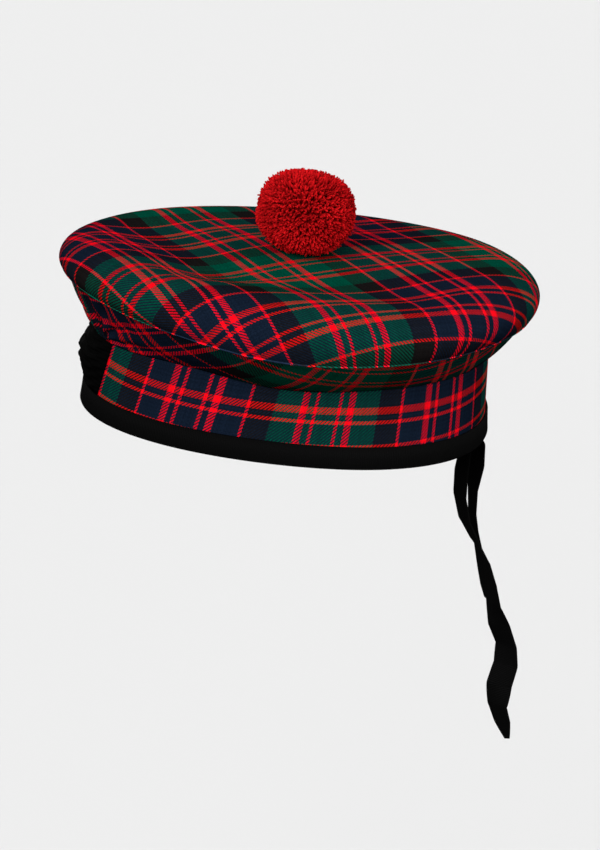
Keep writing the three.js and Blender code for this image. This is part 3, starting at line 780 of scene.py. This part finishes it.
class BONNET_OT_toorie(bpy.types.Operator):
    """Adds the yarn ball on top of the crown"""

    bl_idname = "bonnet.toorie"
    bl_label = "Toorie"
    SEED = 7
    SIDES = 3
    SCATTER = 0.02  # how far the strands' directions stray
    UNEVEN = 0.018  # and their lengths
    CLUMPS = 8  # waves of longer and shorter yarn over the ball
    CORE = 0.78  # size of the wound middle, which the strands hide
    FLAT = 2.4  # the strands are trimmed this much flatter on top
    FULLNESS = 2.3  # 2 trims the yarn to an ellipsoid, and more to a fuller, squarer form
    ROOT = 0.5  # share of the ball's radius at which the strands start

    def execute(self, context):
        settings = context.scene.bonnet_toorie
        low, high = (np.array(corner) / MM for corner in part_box("toorie"))
        high[2] -= self.FLAT
        centre, half = (low + high) / 2, (high - low) / 2
        rng = np.random.default_rng(self.SEED)
        count = settings.strands
        z = 1 - 2 * (np.arange(count) + 0.5) / count
        turn = np.arange(count) * math.pi * (3 - math.sqrt(5))
        out = np.stack([np.sqrt(1 - z * z) * np.cos(turn), np.sqrt(1 - z * z) * np.sin(turn), z], -1)
        out += rng.normal(0, self.SCATTER, out.shape)
        out /= np.linalg.norm(out, axis=1, keepdims=True)
        side = np.cross(out, rng.normal(size=out.shape))
        side /= np.linalg.norm(side, axis=1, keepdims=True)
        other = np.cross(out, side)

        # Each strand runs straight out of the ball and its cut end curls over to one side
        steps = np.array([0, 0.45, 0.7, 0.85, 0.95, 1])
        thick = np.array([0.4, 0.7, 1, 1.1, 1.05, 0.7]) * settings.yarn / MM / 2
        waves = out @ rng.normal(0, 4, (3, self.CLUMPS)) + rng.uniform(0, math.tau, self.CLUMPS)
        clump = np.sin(waves).sum(1) / 4
        reach = (0.98 + self.UNEVEN * clump + rng.normal(0, self.UNEVEN, count)).clip(0.9, 1.03)
        full = np.hypot(out[:, 0], out[:, 1]) ** self.FULLNESS + np.abs(z) ** self.FULLNESS
        reach *= full ** (-1 / self.FULLNESS)
        curl = rng.uniform(0.4, 3.2, count)
        radius = self.ROOT + (reach[:, None] - self.ROOT) * steps
        spine = centre + out[:, None] * radius[..., None] * half
        spine += side[:, None] * (curl[:, None] * steps**3)[..., None]
        angle = np.arange(self.SIDES) * math.tau / self.SIDES
        ring = side[:, None] * np.cos(angle)[:, None] + other[:, None] * np.sin(angle)[:, None]
        points = (spine[:, :, None] + ring[:, None] * thick[None, :, None, None]).reshape(-1, 3)

        each = len(steps) * self.SIDES
        faces = []
        for start in range(0, count * each, each):
            for level in range(len(steps) - 1):
                for k in range(self.SIDES):
                    a = start + level * self.SIDES + k
                    b = start + level * self.SIDES + (k + 1) % self.SIDES
                    faces.append([a, b, b + self.SIDES, a + self.SIDES])
            faces.append([start + k for k in reversed(range(self.SIDES))])
            faces.append([start + each - self.SIDES + k for k in range(self.SIDES)])
        piece = new_piece("toorie_yarn", points, faces)
        brightness = (rng.uniform(0.1, 1, count) + 0.3 * clump).clip(0, 1)
        # Painted shade: from half-way out each strand goes from the deep red at its root to its own random
        # tone at its tip, for the shade deep inside the ball
        tone_and_root_shade = brightness[:, None] * np.interp(steps, [0.5, 1], [0, 1])
        layer = piece.data.attributes.new("tone_and_root_shade", "FLOAT", "POINT")
        layer.data.foreach_set("value", np.repeat(tone_and_root_shade.ravel(), self.SIDES).astype(np.float32))

        bpy.ops.mesh.primitive_uv_sphere_add(segments=48, ring_count=24, location=Vector(centre) * MM)
        core = context.object
        core.scale = Vector(half) * MM * self.CORE
        piece.select_set(True)
        context.view_layer.objects.active = piece
        bpy.ops.object.join()
        finished(piece, yarn_material("cut_wool_yarn", settings), "red_yarn", "toorie")
        return {"FINISHED"}


class BONNET_OT_stage(bpy.types.Operator):
    """Adds the floor, the lights and the camera"""

    bl_idname = "bonnet.stage"
    bl_label = "Stage"
    FLOOR_SIZE = 60
    LAMPS = (
        {"name": "key", "azimuth": -24, "elevation": 28, "strength": 4.4, "softness": 40},
        {"name": "fill", "azimuth": 58, "elevation": 22, "strength": 2.35, "softness": 70},
        {"name": "back", "azimuth": 165, "elevation": 55, "strength": 0.6, "softness": 70},
    )
    ELEVATION = 19
    ROLL = 4.8
    DISTANCE = 2.06
    LENS = 177.2
    ASIDE = 7.93 * MM  # the hat's origin lies this far left of and above the middle of the view
    DOWN = 6.8 * MM
    FAR = 100  # the camera sees as far as this

    def floor_material(self, settings):
        """Matt paper that looks pale, but sends little light back up under the hat."""
        nodes = Nodes("matt_paper_floor")
        seen = nodes.add("ShaderNodeLightPath", {}, "Is Camera Ray")
        paper = {0: seen, 6: settings.bounce, 7: settings.floor}
        colour = nodes.add("ShaderNodeMix", paper, 2, data_type="RGBA")
        return nodes.finish({"Base Color": colour, "Roughness": 1, "Specular IOR Level": 0})

    def execute(self, context):
        settings = context.scene.bonnet_stage
        low = CAD_BOX[0].z - settings.drop
        bpy.ops.object.select_all(action="DESELECT")
        bpy.ops.mesh.primitive_plane_add(size=self.FLOOR_SIZE, location=(0, 0, low))
        floor = context.object
        floor.name = "floor"
        floor.data.materials.append(self.floor_material(settings))

        world = bpy.data.worlds.new("studio")
        world.use_nodes = True
        background = world.node_tree.nodes["Background"]
        background.inputs["Color"].default_value = (1, 1, 1, 1)
        background.inputs["Strength"].default_value = settings.daylight
        context.scene.world = world
        for lamp in self.LAMPS:
            turn = (math.radians(90 - lamp["elevation"]), 0, math.radians(lamp["azimuth"]))
            bpy.ops.object.light_add(type="SUN", location=(0, 0, 1), rotation=turn)
            light = context.object
            light.name = lamp["name"]
            light.data.energy = lamp["strength"]
            light.data.angle = math.radians(lamp["softness"])

        lift = math.radians(self.ELEVATION)
        back = Vector((0, -math.cos(lift), math.sin(lift)))
        roll = Matrix.Rotation(math.radians(self.ROLL), 4, "Z").to_quaternion()
        turn = (-back).to_track_quat("-Z", "Y") @ roll
        bpy.ops.object.camera_add(rotation=turn.to_euler())
        camera = context.object
        camera.name = "camera"
        camera.location = back * self.DISTANCE + turn @ Vector((self.ASIDE, -self.DOWN, 0))
        camera.data.lens = self.LENS
        camera.data.clip_end = self.FAR
        context.scene.camera = camera
        context.scene.view_settings.view_transform = "Standard"
        return {"FINISHED"}


PIECES = (
    BONNET_OT_crown_top,
    BONNET_OT_crown_underside,
    BONNET_OT_headband,
    BONNET_OT_rim_binding,
    BONNET_OT_ruched_panel,
    BONNET_OT_tails,
    BONNET_OT_toorie,
    BONNET_OT_stage,
)


class BONNET_PT_panel(bpy.types.Panel):
    """Lists the pieces of the bonnet and their settings"""

    bl_label = "Balmoral Bonnet"
    bl_idname = "BONNET_PT_panel"
    bl_space_type = "VIEW_3D"
    bl_region_type = "UI"
    bl_category = "Bonnet"

    def draw(self, context):
        for group in SETTINGS:
            box = self.layout.box()
            settings = getattr(context.scene, group)
            for key in settings.bl_rna.properties.keys():
                if key not in ("rna_type", "name"):
                    box.prop(settings, key)
        for piece in PIECES:
            self.layout.operator(piece.bl_idname)


SETTINGS = {
    "bonnet_tartan": TartanSettings,
    "bonnet_ribbon": RibbonSettings,
    "bonnet_toorie": ToorieSettings,
    "bonnet_stage": StageSettings,
}
CLASSES = (*SETTINGS.values(), *PIECES, BONNET_PT_panel)


def register():
    """Registers the classes and hangs their settings on the scene."""
    for kind in CLASSES:
        bpy.utils.register_class(kind)
    for name, kind in SETTINGS.items():
        setattr(bpy.types.Scene, name, bpy.props.PointerProperty(type=kind))


def unregister():
    """Undoes what register does."""
    for name in SETTINGS:
        delattr(bpy.types.Scene, name)
    for kind in reversed(CLASSES):
        bpy.utils.unregister_class(kind)


def main():
    """Builds every piece in order."""
    register()
    for piece in PIECES:
        getattr(bpy.ops.bonnet, piece.bl_idname.split(".")[1])()


if __name__ == "__main__":
    main()
